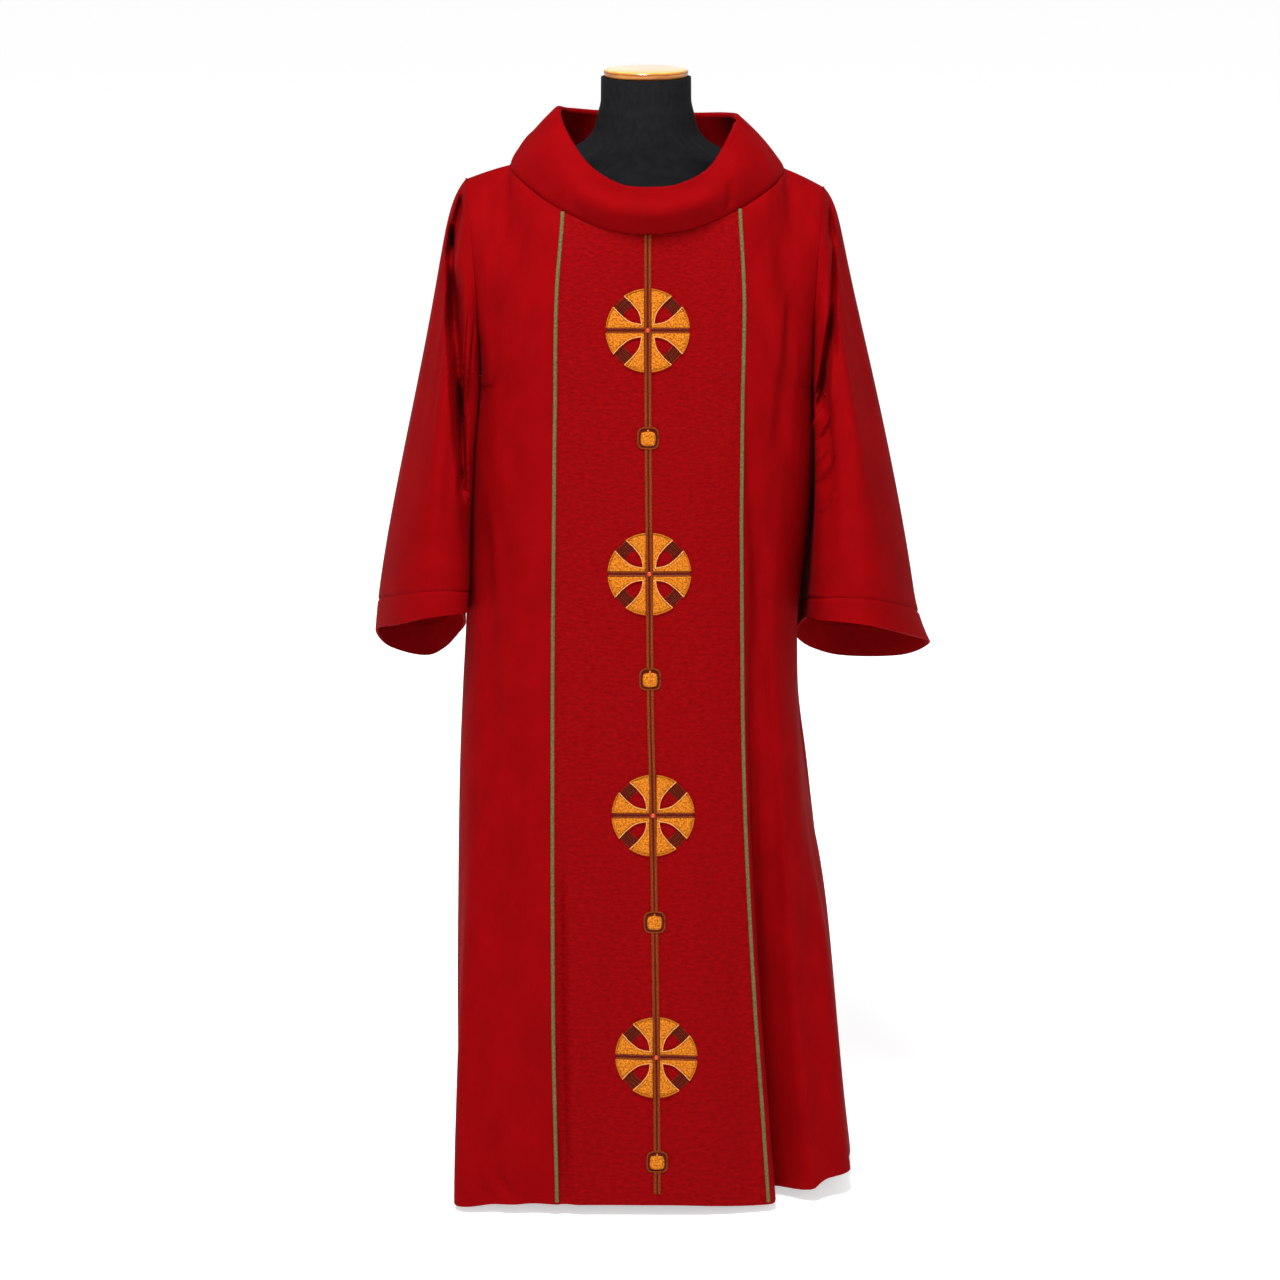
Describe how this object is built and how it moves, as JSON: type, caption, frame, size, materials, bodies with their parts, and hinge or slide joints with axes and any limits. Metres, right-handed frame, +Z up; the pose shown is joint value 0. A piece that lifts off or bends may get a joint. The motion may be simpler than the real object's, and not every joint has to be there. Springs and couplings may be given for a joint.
{
  "type": "dalmatic on a dress form",
  "caption": "Red dalmatic with wide straight sleeves, turned-over collar, corded seams and gold ringed crosses on a centre band, worn by a limbless dress form on a round base",
  "frame": {"origin": "Centre of the underside of the base disc, where the form stands on the floor.", "axes": "+Z up, -Y the front of the garment, +X the wearer's left side."},
  "size_m": [0.7056, 0.4063, 1.4269],
  "materials": {
    "red_twill": "satin",
    "red_crepe": "satin",
    "olive_cord": "satin",
    "bronze_thread": "satin",
    "gold_thread": "satin",
    "black_jersey": "matte",
    "varnished_wood": "gloss",
    "steel_pole": "satin",
    "black_base": "satin"
  },
  "bodies": {
    "root": {"back_centre": "red_twill", "back_left": "red_twill", "back_right": "red_twill", "band_1": "bronze_thread", "band_2": "bronze_thread", "band_3": "bronze_thread", "band_4": "bronze_thread", "band_5": "bronze_thread", "band_6": "bronze_thread", "band_7": "bronze_thread", "band_8": "bronze_thread", "band_9": "bronze_thread", "collar": "red_twill", "form_base": "black_base", "form_pole": "steel_pole", "form_torso": "black_jersey", "front_centre": "red_crepe", "front_left": "red_twill", "front_right": "red_twill", "medallion_1": "gold_thread", "medallion_2": "gold_thread", "medallion_3": "gold_thread", "medallion_4": "gold_thread", "neck_cap": "varnished_wood", "piping_left": "olive_cord", "piping_right": "olive_cord", "sleeve_left": "red_twill", "sleeve_right": "red_twill", "square_1": "gold_thread", "square_2": "gold_thread", "square_3": "gold_thread", "square_4": "gold_thread"}
  },
  "joints": []
}
